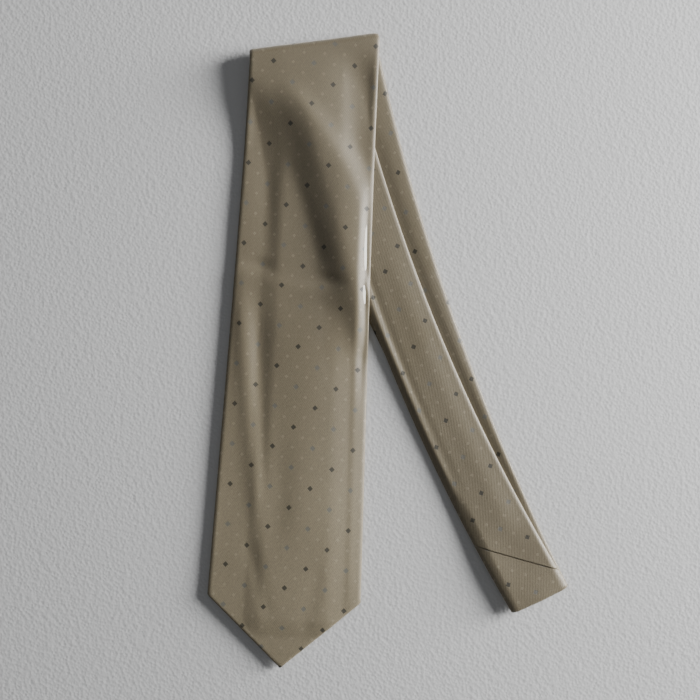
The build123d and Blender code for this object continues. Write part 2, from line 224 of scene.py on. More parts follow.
blade = Layer(["blade_shell"], coming_down("blade", 0.11, 0.196), 0.0, -0.305, 1)
back = Layer(["return_shell", "neck_end_shell"], lambda y: levels["return"], 0.0, -0.29, 3)
neck_nodes = ["tail_fold_shell", "neck_base_shell", "neck_loop_shell"]
neck = Layer(neck_nodes, lambda y: levels["neck"], -0.07, -0.25, 3)
tail = Layer(["tail_shell"], coming_down("tail", 0.096, 0.181), 0.0, -0.29, 1)
blade.length = float(np.interp(-blade_low[1], -blade.y, blade.s))
tail.length = float(np.interp(-tail_low[1], -tail.y, tail.s))

# The neck fold: the two outermost corners of the shell that turns there
turn_points = np.array([v.co for v in frame["nodes"]["neck_end_shell"].data.vertices])
outward = np.array([math.sin(math.radians(27)), -math.cos(math.radians(27)), 0])
sideways = np.array([-outward[1], outward[0], 0])
corner_a = turn_points[np.argmax(turn_points @ (outward + sideways))]
corner_b = turn_points[np.argmax(turn_points @ (outward - sideways))]
turn_along = (corner_a - corner_b) / np.linalg.norm(corner_a - corner_b)
turn_out = np.array([turn_along[1], -turn_along[0], 0])
turn_at = (corner_a + corner_b) / 2 - turn_out * high_z("neck_loop_shell") / 2


def fold_s(layer, point, along):
    """Where a fold line crosses the middle of a layer, and how s changes with t on that line."""
    gap = (layer.y - point[1]) * along[0] - (layer.x - point[0]) * along[1]
    s = float(np.interp(0, -gap, layer.s))
    angle = float(layer.read(s, layer.heading)) - math.atan2(along[1], along[0])
    return s, math.tan(angle)


BACK_END, BACK_SHEAR = fold_s(back, turn_at, turn_along)
NECK_END, NECK_SHEAR = fold_s(neck, turn_at, turn_along)
BACK_LIFT = fold_s(back, lift_at, lift_along)[0]
NECK_LIFT = fold_s(neck, lift_at, lift_along)[0]


# ---- Relief: how the soft cloth rises and sinks, as heights over a layer's own plane

def ridge(s, t, path, height, left, right, start, end, fade):
    """A long soft ridge, or a valley if height is negative, whose crest follows path, t against s."""
    crest_s, crest_t = np.array(path).T * MM
    slope = (np.interp(s + 4 * MM, crest_s, crest_t) - np.interp(s - 4 * MM, crest_s, crest_t)) / (8 * MM)
    d = (t - np.interp(s, crest_s, crest_t)) / np.sqrt(1 + slope ** 2)
    wide = np.where(d < 0, left, right) * MM
    along = smooth((s / MM - start) / fade) * smooth((end - s / MM) / fade)
    return height * MM * np.exp(-(d / wide) ** 2) * along


def blade_relief(s, t):
    z = ridge(s, t, [(15, -24), (26, -14), (53, 8), (71, 22), (89, 30), (113, 34), (170, 37)],
              1.5, 22, 8, 12, 190, 26)
    z += ridge(s, t, [(0, 26), (50, 32), (80, 40)], -2.2, 13, 10, -6, 80, 26)
    z += ridge(s, t, [(30, -30), (60, -18), (125, -4)], -2.2, 14, 16, 22, 150, 30)
    z += ridge(s, t, [(150, -36), (200, -30), (257, -22), (300, -17)], 1.0, 6, 7, 130, 300, 40)
    z += ridge(s, t, [(150, -26), (200, -20), (257, -13), (300, -9)], -1.2, 6, 9, 145, 310, 40)
    z += ridge(s, t, [(150, 6), (210, 11), (300, 10)], 0.9, 16, 20, 140, 320, 50)
    z += ridge(s, t, [(300, -22), (345, -9)], -0.6, 4, 4, 292, 352, 18)
    z += ridge(s, t, [(318, 19), (345, 14)], -0.6, 4, 4, 308, 356, 14)
    crease = 135 * MM + 0.05 * t + 2.5 * MM * np.sin(t / (14 * MM))
    reach = smooth((t / MM + 40) / 14) * smooth((30 - t / MM) / 14)
    z += -0.8 * MM * np.exp(-((s - crease) / (3.5 * MM)) ** 2) * reach
    z += 0.5 * MM * np.exp(-((s - crease - 9 * MM) / (6 * MM)) ** 2) * smooth((34 - t / MM) / 20)
    z += 0.3 * MM * np.sin(s / (31 * MM) + 1.3) * np.sin(t / (17 * MM) + s / (60 * MM))
    return z


def fold_puff(t):
    """The blade fold stands higher towards its left end."""
    return 0.5 * MM * smooth((18 * MM - t) / (50 * MM))


def top_under_blade(x, y):
    """Height of the cloth that the blade lies on, with a soft step round each layer."""
    top = 0 * x
    below = ((back, back_height, LAYER_END), (neck, neck_height, LAYER_END),
             (tail, tail_height, tail.length))
    for layer, height, end in below:
        s, t = layer.find(x, y)
        t = np.clip(t, -layer.half(s), layer.half(s))
        surface = height(s, t) + LAYER_THICK / 2
        top = np.maximum(top, surface * layer.cover(x, y, 16 * MM, end, 6 * MM))
    return top


def edge_droop(s, t):
    """How far the blade's right edge sinks, most where it crosses the neck."""
    wide = 8.5 * MM
    inset = blade.half(np.minimum(s, blade.length)) - t
    rim = smooth((s - 70 * MM) / (50 * MM)) * (1 - 0.65 * smooth((s - 170 * MM) / (60 * MM)))
    return 3.4 * MM * rim * smooth((365 * MM - s) / (60 * MM)) * smooth((wide - inset) / wide)


def blade_height(s, t):
    """Middle of the blade: it lies on what is under it and droops where nothing is."""
    x, y = blade.at(s, t)
    lower = back.cover(x, y, 24 * MM, shift=10 * MM) + neck.cover(x, y, 20 * MM, shift=8 * MM)
    under = (LAYER_THICK + 0.25 * MM) * lower
    under += (LAYER_THICK + 0.9 * MM) * tail.cover(x, y, 32 * MM, tail.length, 13 * MM)
    near = smooth((70 * MM - s) / (70 * MM))
    rest = np.maximum(LAYER_THICK / 2 + 0.3 * MM + under, LAYER_THICK / 2 + STIFF_RISE)
    z = rest * (1 - near) + np.maximum(rest, levels["blade"]) * near
    edge = np.abs(t) / blade.half(np.minimum(s, blade.length))
    z = z + blade_relief(s, t) * (1 - 0.5 * smooth((edge - 0.85) / 0.15))
    z = z + 2 * fold_puff(t) * smooth((80 * MM - s) / (80 * MM))
    z = z - edge_droop(s, t)
    lowest = top_under_blade(x, y) + LAYER_THICK / 2 + 0.15 * MM
    soft = 0.7 * MM * smooth(s / (40 * MM))
    return (z + lowest + np.sqrt((z - lowest) ** 2 + soft ** 2)) / 2


def tail_height(s, t):
    """Middle of the tail: level with the fold at its start, then down over the lower layers' edges."""
    x, y = tail.at(s, t)
    under = (LAYER_THICK + SETTLE_GAP) * (back.cover(x, y, 14 * MM) + neck.cover(x, y, 12 * MM))
    settled = smooth(s / (40 * MM))
    rest = np.maximum(LAYER_THICK / 2 + SETTLE_GAP + under, end_low["tail"])
    return rest * settled + levels["tail"] * (1 - settled)


def end_rise(s, end):
    """The two lower layers rise off the floor towards the neck fold, where the cloth is stiff."""
    return 2.6 * MM * smooth((s - end + 110 * MM) / (100 * MM))


def neck_height(s, t):
    """Middle of the neck: on the return where it covers it, with soft folds along its left edge."""
    x, y = neck.at(s, t)
    under = (LAYER_THICK + 0.15 * MM) * back.cover(x, y, 10 * MM)
    level = smooth((s - 100 * MM) / (60 * MM))
    z = LAYER_THICK / 2 + 0.15 * MM + under
    z = z * level + levels["neck"] * (1 - level)
    z = z + ridge(s, t, [(100, -13.8), (340, -14.8)], 0.45, 1.6, 1.8, 90, 300, 40)
    z = z + ridge(s, t, [(100, -10), (340, -11)], -0.35, 1.8, 3, 90, 300, 40)
    z = z + ridge(s, t, [(100, 7), (340, 6)], 0.5, 8, 7, 100, 345, 60)
    z = z + end_rise(s, NECK_END)
    near_end = smooth((s - NECK_END + 90 * MM) / (60 * MM))
    return z + 0.25 * MM * np.sin(s / (11 * MM)) * near_end * np.cos(t / (6 * MM))


def back_height(s, t):
    """Middle of the return: flat on the floor, its right side raised where the neck leaves it bare."""
    x, y = back.at(s, t)
    right = smooth((t - 0.25 * back.half(s)) / (0.6 * back.half(s)))
    bare = 1 - neck.cover(x, y, 8 * MM, shift=2 * MM)
    lift = 1.2 * MM * right * bare * smooth((s - 30 * MM) / (50 * MM)) * smooth((340 * MM - s) / (60 * MM))
    return levels["return"] + lift + end_rise(s, BACK_END)


# ---- From cloth coordinates to the row frame

def round_section(t, half):
    """Half the thickness of the folded cloth near its rolled long edges."""
    depth = np.clip((half - np.abs(t)) / ROLL, 0, 1)
    return LAYER_THICK / 2 * np.sqrt(np.maximum(1 - (1 - depth) ** 2, 0))


def flat(layer, height, face):
    """Turns cloth coordinates on a layer into points; face is 1 if its face is up, -1 if it is down."""
    def place(s, t, d):
        x, y = layer.at(s, t)
        return np.stack([x, y, height(s, t) + face * d], -1)
    return place


on_blade, on_back = flat(blade, blade_height, 1), flat(back, back_height, -1)
on_neck, on_tail = flat(neck, neck_height, 1), flat(tail, tail_height, -1)


def on_turn(first, s_first, second, s_second, out):
    """Cloth round a fold, from the first layer's fold line, at share 0, to the second's, at share 1."""
    def place(share, t, d, shear_first, shear_second):
        start = first(s_first + shear_first * t, t, 0 * t)
        end = second(s_second + shear_second * t, t, 0 * t)
        middle, reach = (start + end) / 2, (start - end) / 2
        radius = np.abs(reach[..., 2:]) + d[..., None]
        angle = math.pi * share[..., None]
        upright = np.sign(reach[..., 2:]) * np.array([0, 0, 1.0])
        flat_part = middle + np.array([1, 1, 0]) * reach * np.cos(angle)
        return flat_part + radius * (np.cos(angle) * upright + np.sin(angle) * out)
    return place


fold_out = np.array([-fold_along[1], fold_along[0], 0])
BLADE_SHEAR, RETURN_SHEAR = fold_s(blade, fold_at, fold_along)[1], fold_s(back, fold_at, fold_along)[1]
TAIL_SHEAR, NECK_TOP_SHEAR = fold_s(tail, fold_at, fold_along)[1], fold_s(neck, fold_at, fold_along)[1]
SHEAR_FADE = 90 * MM


class Span:
    """A stretch of rows of cloth.

    place(share, t, d) gives points, cloth(share, t) the pattern's s, half(share) the half-width and
    opening(share) half the gap in the back; share runs from 0 to 1 along the stretch.
    """

    def __init__(self, length, place, cloth, half):
        self.length, self.place, self.cloth, self.half = length, place, cloth, half
        self.opening = None

    def shares(self, first):
        """The rows of a silk piece on this stretch; one after the first starts past the shared row."""
        step = ROW_STEP if self.length > 20 * MM else FOLD_ROW_STEP
        rows = np.linspace(0, 1, max(6, int(self.length / step)) + 1)
        return rows if first else rows[1:]


def along(layer, place, s_from, s_to, shear_from, shear_to, cloth_at, sign):
    """Rows on a flat layer from s_from to s_to; at each end the rows slant by a shear."""
    length = abs(s_to - s_from)
    fade = min(SHEAR_FADE, 0.95 * length)

    def station(share, t):
        slant = shear_from * (1 - smooth(share * length / fade))
        slant = slant + shear_to * (1 - smooth((1 - share) * length / fade))
        return s_from + (s_to - s_from) * share + slant * t

    def put(share, t, d):
        return place(station(share, t), t, d)

    def cloth(share, t):
        return cloth_at + sign * (station(share, t) - s_from)

    def half(share):
        return layer.half(s_from + (s_to - s_from) * share)
    return Span(length, put, cloth, half)


def around(first, first_place, s_first, second, second_place, s_second, shears, out, cloth_at):
    """Rows round the fold between two layers."""
    turn = on_turn(first_place, s_first, second_place, s_second, out)
    zero = np.float64(0)
    start = first_place(np.float64(s_first), zero, zero)
    end = second_place(np.float64(s_second), zero, zero)
    length = math.pi * abs(float(start[2] - end[2])) / 2

    def put(share, t, d):
        return turn(share + 0 * t, t, d, *shears)

    def cloth(share, t):
        return cloth_at + share * length - shears[0] * t

    def half(share):
        return first.half(s_first) * (1 - share) + second.half(s_second) * share
    return Span(length, put, cloth, half)


def pointed(span, layer, s_from, s_to, opening, hem):
    """Makes the end of a span a point, with an open back edged by a hem."""
    def station(share):
        return s_from + (s_to - s_from) * share

    def half(share):
        s = station(share)
        return np.maximum(np.minimum(layer.half(s), (layer.length - s) * POINT), 0.05 * MM)

    def gap(share):
        s = station(share)
        on_side = layer.half(s) < (layer.length - s) * POINT
        inner = half(share) - hem / np.where(on_side, 1, math.cos(math.atan(POINT)))
        corner = layer.length - layer.half(layer.length) / POINT
        grow = (s - (layer.length - opening)) / (corner - layer.length + opening)
        return np.clip(np.minimum(grow * (layer.half(corner) - hem), inner), 0, None)
    span.half, span.opening = half, gap
    return span


def shell(name, spans):
    """One silk piece: face, rolled edges and the two flaps at the back that meet at the centre seam."""
    face = np.sin(np.linspace(-1, 1, FRONT_COLUMNS) * math.pi / 2)
    flap = np.cos(np.linspace(0, 1, FLAP_COLUMNS + 1)[1:] * math.pi / 2)
    rows, uv = [], []
    for number, span in enumerate(spans):
        for share in span.shares(number == 0):
            half = float(span.half(share))
            gap = float(span.opening(share)) if span.opening else 0.0
            inner = min(gap, 0.97 * half)
            side = inner + (half - inner) * flap
            t = np.concatenate([-side[::-1], half * face, side])
            sign = np.concatenate([-np.ones(FLAP_COLUMNS), np.ones(FRONT_COLUMNS), -np.ones(FLAP_COLUMNS)])
            d = sign * round_section(t, half)
            seam = smooth(1 - np.abs(t[:FLAP_COLUMNS]) / (4 * MM)) * (gap < 1 * MM)
            d[:FLAP_COLUMNS] -= SEAM_SINK * seam
            d = d * min(1, half / (2 * MM))
            u = np.where(sign > 0, t, np.sign(t) * (2 * half - np.abs(t)))
            share_row = np.full_like(t, share)
            rows.append(span.place(share_row, t, d))
            uv.append(np.stack([span.cloth(share_row, t), u], -1))
    return grid(name, np.array(rows), np.array(uv))


def grid(name, points, uv, thickness=CLOTH):
    """A mesh from rows of points, with cloth coordinates as its UV map."""
    rows, columns = points.shape[:2]
    index = np.arange(rows * columns).reshape(rows, columns)
    quads = np.stack([index[:-1, :-1], index[:-1, 1:], index[1:, 1:], index[1:, :-1]], -1).reshape(-1, 4)
    mesh = bpy.data.meshes.new(name)
    mesh.from_pydata(points.reshape(-1, 3).tolist(), [], quads.tolist())
    layer = mesh.uv_layers.new(name="cloth")
    layer.data.foreach_set("uv", uv.reshape(-1, 2)[quads.ravel()].astype(np.float32).ravel())
    mesh.polygons.foreach_set("use_smooth", [True] * len(quads))
    obj = bpy.data.objects.new(name, mesh)
    bpy.context.scene.collection.objects.link(obj)
    if thickness:
        skin = obj.modifiers.new("thickness", "SOLIDIFY")
        skin.thickness, skin.offset = thickness, 0
    return obj


def weigh(obj, weights):
    """Bakes obj's transform into its mesh; the weights are not used."""
    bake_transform(obj)


def shell_weights(obj, spans, weights):
    """One weight for each vertex of shell(), from one weight function for each span."""
    rows = [weight(share) for number, (span, weight) in enumerate(zip(spans, weights))
            for share in span.shares(number == 0)]
    return np.repeat(rows, len(obj.data.vertices) // len(rows))


def lift_weights(obj):
    """0 before the line that the neck loop lifts about, 1 after it, smooth in a zone 30 mm long."""
    points = np.array([v.co for v in obj.data.vertices])
    down = np.array([lift_along[1], -lift_along[0], 0])
    return smooth(((points - lift_at) @ down) / (30 * MM) + 0.5)


# ---- Silk pieces

def front_end(trim):
    """The blade from its point, and the fold into the return."""
    start = blade.length - trim
    flat_part = pointed(along(blade, on_blade, start, 0, 0, BLADE_SHEAR, 0, -1), blade, start, 0,
                        BLADE_OPENING, BLADE_HEM)
    shears = (BLADE_SHEAR, RETURN_SHEAR)
    return flat_part, around(blade, on_blade, 0, back, on_back, 0, shears, fold_out, blade.length)


def neck_fold(cloth_at):
    shears = (BACK_SHEAR, NECK_SHEAR)
    return around(back, on_back, BACK_END, neck, on_neck, NECK_END, shears, turn_out, cloth_at)


def tail_end(trim):
    """The fold from the neck into the tail, and the tail down to its point."""
    end = tail.length - trim
    turn = around(neck, on_neck, 0, tail, on_tail, 0, (NECK_TOP_SHEAR, TAIL_SHEAR), fold_out, 0.0)
    flat_part = pointed(along(tail, on_tail, 0, end, TAIL_SHEAR, 0, 0.0, 1), tail, 0, end,
                        TAIL_OPENING, TAIL_HEM)
    return turn, flat_part


TO_BLADE = (lambda share: 1.0, lambda share: 1.0 - share, lambda share: 0.0)
TO_TAIL = (lambda share: 0.0, lambda share: share, lambda share: 1.0)


def build_front_shell():
    blade_flat, turn = front_end(TIP_TRIM)
    cloth_at = blade.length + turn.length
    spans = [blade_flat, turn, along(back, on_back, 0, SHELL_CUT, RETURN_SHEAR, 0, cloth_at, 1)]
    obj = shell("front_shell", spans)
    obj.modifiers["thickness"].use_rim = False
    weigh(obj, shell_weights(obj, spans, TO_BLADE))
    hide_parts("blade_shell", "return_shell")
    return cloth_at + SHELL_CUT


def build_neck_end_shell(cloth_at):
    lower_back = along(back, on_back, SHELL_CUT, BACK_END, 0, BACK_SHEAR, cloth_at, 1)
    turn = neck_fold(cloth_at + BACK_END - SHELL_CUT)
    cloth_at += BACK_END - SHELL_CUT + turn.length
    front_part = along(neck, on_neck, NECK_END, NECK_END - FRONT_SEAM, NECK_SHEAR, 1, cloth_at, -1)
    obj = shell("front_shell_neck_end", [lower_back, turn, front_part])
    obj.modifiers["thickness"].use_rim = False
    weigh(obj, lift_weights(obj))
    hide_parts("neck_end_shell")
    return cloth_at


def build_neck_shell(cloth_at):
    cloth_at += FRONT_SEAM + FRONT_SEAM_SHIFT
    obj = shell("neck_shell", [along(neck, on_neck, NECK_END - FRONT_SEAM, HIDDEN_SEAM, 1, 1, cloth_at, -1)])
    weigh(obj, lift_weights(obj))
    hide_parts("neck_base_shell", "neck_loop_shell")


def build_tail_shell():
    upper_neck = along(neck, on_neck, HIDDEN_SEAM, 0, 1, NECK_TOP_SHEAR, 0.0, -1)
    spans = [upper_neck, *tail_end(TIP_TRIM)]
    obj = shell("tail_shell_piece", spans)
    weigh(obj, shell_weights(obj, spans, TO_TAIL))
    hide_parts("tail_fold_shell", "tail_shell")


build_neck_shell(build_neck_end_shell(build_front_shell()))
build_tail_shell()


# ---- Materials: every one is procedural, in cloth coordinates (the UV map, in metres)

class Nodes:
    """Short way to write shader maths."""

    def __init__(self, name):
        self.material = bpy.data.materials.new(name)
        self.material.use_nodes = True
        self.tree = self.material.node_tree
        self.shader = self.tree.nodes["Principled BSDF"]

    def put(self, socket, value):
        if isinstance(value, bpy.types.NodeSocket):
            self.tree.links.new(value, socket)
        else:
            socket.default_value = value

    def math(self, operation, *values):
        node = self.tree.nodes.new("ShaderNodeMath")
        node.operation = operation
        for socket, value in zip(node.inputs, values):
            self.put(socket, value)
        return node.outputs[0]

    def mix(self, share, first, second):
        node = self.tree.nodes.new("ShaderNodeMix")
        node.data_type = "RGBA"
        self.put(node.inputs["Factor"], share)
        for key, value in (("A", first), ("B", second)):
            socket = [i for i in node.inputs if i.name == key and i.type == "RGBA"][0]
            self.put(socket, value if isinstance(value, bpy.types.NodeSocket) else (*value, 1))
        return [o for o in node.outputs if o.type == "RGBA"][0]

    def stretched(self, a, b):
        """A vector for streaks that run along the threads."""
        node = self.tree.nodes.new("ShaderNodeCombineXYZ")
        self.put(node.inputs[0], self.math("MULTIPLY", a, 260.0))
        self.put(node.inputs[1], self.math("MULTIPLY", b, 1100.0))
        return node.outputs[0]

    def noise(self, vector, scale, detail=3.0):
        node = self.tree.nodes.new("ShaderNodeTexNoise")
        self.put(node.inputs["Vector"], vector)
        self.put(node.inputs["Scale"], scale)
        self.put(node.inputs["Detail"], detail)
        return node.outputs["Fac"]

    def cloth_axes(self):
        """The cloth coordinates turned by 45 degrees on to the threads, in metres."""
        uv = self.tree.nodes.new("ShaderNodeUVMap")
        split = self.tree.nodes.new("ShaderNodeSeparateXYZ")
        self.put(split.inputs[0], uv.outputs[0])
        s, t = split.outputs[0], split.outputs[1]
        a = self.math("MULTIPLY", self.math("ADD", s, t), math.sqrt(0.5))
        b = self.math("MULTIPLY", self.math("SUBTRACT", s, t), math.sqrt(0.5))
        return uv.outputs[0], s, t, a, b

    def band(self, value, pitch, width):
        """1 within width of a multiple of pitch, with a slightly soft border."""
        away = self.math("ABSOLUTE", self.math("WRAP", value, pitch / 2, -pitch / 2))
        soft = 0.12 * MM
        return self.math("MULTIPLY_ADD", away, -1 / soft, (width / 2 + soft / 2) / soft)

    def both(self, first, second):
        """The smaller of two values, kept between 0 and 1."""
        smaller = self.math("MINIMUM", first, second)
        return self.math("MAXIMUM", self.math("MINIMUM", smaller, 1.0), 0.0)

    def bump(self, height, distance, strength=1.0):
        node = self.tree.nodes.new("ShaderNodeBump")
        self.put(node.inputs["Height"], height)
        self.put(node.inputs["Distance"], distance)
        self.put(node.inputs["Strength"], strength)
        self.tree.links.new(node.outputs[0], self.shader.inputs["Normal"])

    def finish(self, color, rough, sheen=0.2, sheen_rough=0.4):
        self.put(self.shader.inputs["Base Color"], color)
        self.put(self.shader.inputs["Roughness"], rough)
        self.put(self.shader.inputs["Sheen Weight"], sheen)
        self.put(self.shader.inputs["Sheen Roughness"], sheen_rough)
        self.put(self.shader.inputs["Sheen Tint"], (1, 0.97, 0.88, 1))
        return self.material


LATTICE = 17.2 * MM
SQUARE = 2.45 * MM
DOT = 1.55 * MM
SQUARE_ROOM = 4 * MM
TWILL_PITCH = 0.95 * MM
WARP_PITCH, WEFT_PITCH = 0.42 * MM, 0.5 * MM
GROUND_DARK = (0.090, 0.073, 0.046)
GROUND_LIGHT = (0.370, 0.318, 0.214)
CREAM = (0.50, 0.455, 0.345)
SQUARE_DARK = (0.012, 0.013, 0.010)
SQUARE_GREY = (0.118, 0.120, 0.108)


def wave(n, value, pitch):
    return n.math("SINE", n.math("MULTIPLY", value, 2 * math.pi / pitch))


def small_motif(n, a, b):
    """Groups of four small cream dots half-way between the squares."""
    dot_a, dot_b = (n.both(n.band(v, LATTICE / 2, DOT), 1.0) for v in (a, b))
    fine_a, fine_b = (n.both(n.band(v, LATTICE / 20, 0.34 * MM), 1.0) for v in (a, b))
    cross = n.math("SUBTRACT", 1.0, n.math("MULTIPLY", fine_a, fine_b))
    motif = n.both(n.math("MULTIPLY", dot_a, dot_b), cross)
    near_square = n.both(n.band(a, LATTICE, SQUARE_ROOM), n.band(b, LATTICE, SQUARE_ROOM))
    return n.math("MULTIPLY", motif, n.math("SUBTRACT", 1.0, near_square))


def ground_tone(n, uv, a, b, hatch, thread, grain):
    """How light the ground is, from broken twill lines, grain and slubs."""
    broken = n.math("MULTIPLY", hatch, n.math("SUBTRACT", n.noise(uv, 420.0, 2.0), 0.2))
    tone = n.math("MULTIPLY_ADD", broken, 0.30, n.math("MULTIPLY_ADD", grain, 0.42, 0.30))
    slub = n.noise(n.stretched(a, b), 1.0, 2.0)
    tone = n.math("ADD", tone, n.math("MULTIPLY_ADD", slub, 0.30, -0.15))
    return n.both(n.math("ADD", tone, n.math("MULTIPLY", thread, 0.05)), 1.0)


def silk_material():
    """Jacquard silk: squares on a bias lattice in rows, dark and grey by turns, cream dots, fine twill.

    The ground is painted darker away from the blade's point, as painted shade.
    """
    n = Nodes("jacquard_silk")
    uv, s, t, a, b = n.cloth_axes()
    waver = n.math("MULTIPLY", n.math("SUBTRACT", n.noise(uv, 60.0, 1.0), 0.5), 0.7 * MM)
    a, b = n.math("ADD", a, waver), n.math("SUBTRACT", b, waver)
    square = n.both(n.band(a, LATTICE, SQUARE), n.band(b, LATTICE, SQUARE))
    every_other = n.both(n.band(b, 2 * LATTICE, LATTICE), 1.0)
    motif = small_motif(n, a, b)
    hatch = wave(n, twill_line(n, s, t), TWILL_PITCH)
    thread, cross = wave(n, a, WARP_PITCH), wave(n, b, WEFT_PITCH)
    grain = n.noise(uv, 900.0, 2.0)
    broad = n.noise(uv, 22.0, 2.0)
    color = n.mix(ground_tone(n, uv, a, b, hatch, thread, grain), GROUND_DARK, GROUND_LIGHT)
    color = n.mix(n.math("MULTIPLY", broad, 0.22), color, GROUND_DARK)
    # Painted shade: from about 100 mm to 210 mm past the blade's point the ground is mixed a third of the
    # way towards GROUND_DARK
    painted_shade_share = n.both(n.math("MULTIPLY_ADD", s, 1 / (110 * MM), -0.9), 1.0)
    color = n.mix(n.math("MULTIPLY", painted_shade_share, 0.34), color, GROUND_DARK)
    color = n.mix(n.math("MULTIPLY", motif, 0.20), color, CREAM)
    color = n.mix(n.math("MULTIPLY", square, 0.82), color, n.mix(every_other, SQUARE_GREY, SQUARE_DARK))
    weave = n.math("MULTIPLY", n.math("MULTIPLY", thread, cross), 0.5)
    height = n.math("ADD", n.math("MULTIPLY", hatch, 0.5), weave)
    height = n.math("SUBTRACT", n.math("MULTIPLY_ADD", grain, 0.8, height), n.math("MULTIPLY", square, 0.8))
    n.bump(height, 0.05 * MM, 0.8)
    n.put(n.shader.inputs["Specular IOR Level"], 0.55)
    n.put(n.shader.inputs["Anisotropic"], 0.3)
    return n.finish(color, n.math("MULTIPLY_ADD", square, 0.15, 0.40), 0.5, 0.3)


def twill_line(n, s, t):
    """Distance across the twill lines, which climb steeply to the right on the face."""
    return n.math("SUBTRACT", n.math("MULTIPLY", t, math.sin(math.radians(60))),
                  n.math("MULTIPLY", s, math.cos(math.radians(60))))


def plain_cloth(name, color, pitch, rough, depth, shade=0.75):
    """Plain woven cloth, such as lining, felted interlining or a label."""
    n = Nodes(name)
    uv, s, t = n.cloth_axes()[:3]
    warp, weft = wave(n, s, pitch), wave(n, t, pitch)
    fuzz = n.noise(uv, 700.0, 3.0)
    height = n.math("MULTIPLY_ADD", n.math("MULTIPLY", warp, weft), 0.5, fuzz)
    n.bump(height, depth, 0.8)
    tone = n.both(n.math("MULTIPLY_ADD", height, 0.45, 0.1), 1.0)
    return n.finish(n.mix(tone, tuple(shade * c for c in color), color), rough, 0.3)


def thread_material():
    """Twisted sewing thread."""
    n = Nodes("sewing_thread")
    place = n.tree.nodes.new("ShaderNodeTexCoord").outputs["Object"]
    fuzz = n.noise(place, 2500.0, 2.0)
    n.bump(fuzz, 0.05 * MM)
    return n.finish(n.mix(fuzz, (0.30, 0.26, 0.20), (0.52, 0.47, 0.37)), 0.6)


def floor_material():
    """Pale grained sheet under the tie."""
    n = Nodes("floor_sheet")
    place = n.tree.nodes.new("ShaderNodeTexCoord").outputs["Object"]
    cells = n.tree.nodes.new("ShaderNodeTexVoronoi")
    n.put(cells.inputs["Vector"], place)
    n.put(cells.inputs["Scale"], 520.0)
    grain = n.math("ADD", cells.outputs["Distance"], n.noise(place, 260.0, 3.0))
    n.bump(grain, 0.35 * MM, 0.45)
    return n.finish(n.mix(n.noise(place, 3.0, 2.0), (0.60, 0.60, 0.60), (0.66, 0.66, 0.655)), 0.75, 0.0)


# ---- What is inside the silk and sewn to it

def sheet(name, spans, inset, offset, thickness, columns=18, step=3 * MM):
    """A lining or interlining that follows spans of cloth, narrower by inset, at a height in the layer."""
    rows, uv, shares_of = [], [], []
    for number, span in enumerate(spans):
        count = max(8, int(span.length / step))
        for share in np.linspace(0, 1, count + 1)[(number > 0):]:
            half = max(float(span.half(share)) - inset, 0.02 * MM)
            t = half * np.linspace(-1, 1, columns)
            share_row = np.full_like(t, share)
            rows.append(span.place(share_row, t, 0 * t + offset))
            uv.append(np.stack([span.cloth(share_row, t), t], -1))
            shares_of.append((number, share))
    return grid(name, np.array(rows), np.array(uv), thickness), shares_of


def row_weights(obj, shares_of, weights):
    values = np.array([weights[number](share) for number, share in shares_of])
    return np.repeat(values, len(obj.data.vertices) // len(values))


def interlining(name, spans, weights, offset, thickness, replaced, cloth):
    """A sheet of felted wool; weights are one function for each span, or None for the lift line's."""
    obj, shares = sheet(name, spans, CORE_INSET, offset, thickness)
    weigh(obj, row_weights(obj, shares, weights) if weights else lift_weights(obj))
    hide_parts(*replaced)
    dress(obj, cloth["wool"])


def build_inside(cloth):
    upper = along(back, on_back, 0, SHELL_CUT, RETURN_SHEAR, 0, 0, 1)
    interlining("front_interlining", [*front_end(CORE_TRIM), upper], TO_BLADE, 0.15 * MM, 0.9 * MM,
                ("blade_interlining", "return_interlining"), cloth)
    lower = along(back, on_back, SHELL_CUT, BACK_END, 0, BACK_SHEAR, 0, 1)
    over = along(neck, on_neck, NECK_END, CORE_CUT, NECK_SHEAR, 0, 0, -1)
    interlining("neck_interlining", [lower, neck_fold(0), over], None, 0, 0.8 * MM,
                ("neck_loop_interlining",), cloth)
    over = along(neck, on_neck, CORE_CUT, 0, 0, NECK_TOP_SHEAR, 0, -1)
    interlining("tail_interlining_sheet", [over, *tail_end(CORE_TRIM)], TO_TAIL, 0.15 * MM, 0.8 * MM,
                ("neck_base_interlining", "tail_interlining"), cloth)


def dress(obj, mat):
    obj.data.materials.append(mat)


def tipping(name, layer, place, back_cut, body, node, cloth):
    """The lining that closes the open back of a pointed end; back_cut is its opening, hem and lap."""
    opening, hem, lap = back_cut
    top = layer.length - opening - lap
    end = layer.length - (hem - lap) / math.sin(math.atan(POINT))
    corner = layer.length - layer.half(layer.length) / POINT
    span = along(layer, place, top, end, 0, 0, 0, 1)

    def half(share):
        s = top + (end - top) * share
        grow = (s - top) / (corner - top) * (layer.half(corner) - hem + lap)
        return max(0.05 * MM, min(grow, (end - s) * POINT))
    span.half = half
    obj, _ = sheet(name, [span], 0, -0.62 * MM, 0.16 * MM, 24, 2 * MM)
    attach(obj, body)
    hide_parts(node)
    dress(obj, cloth["lining"])


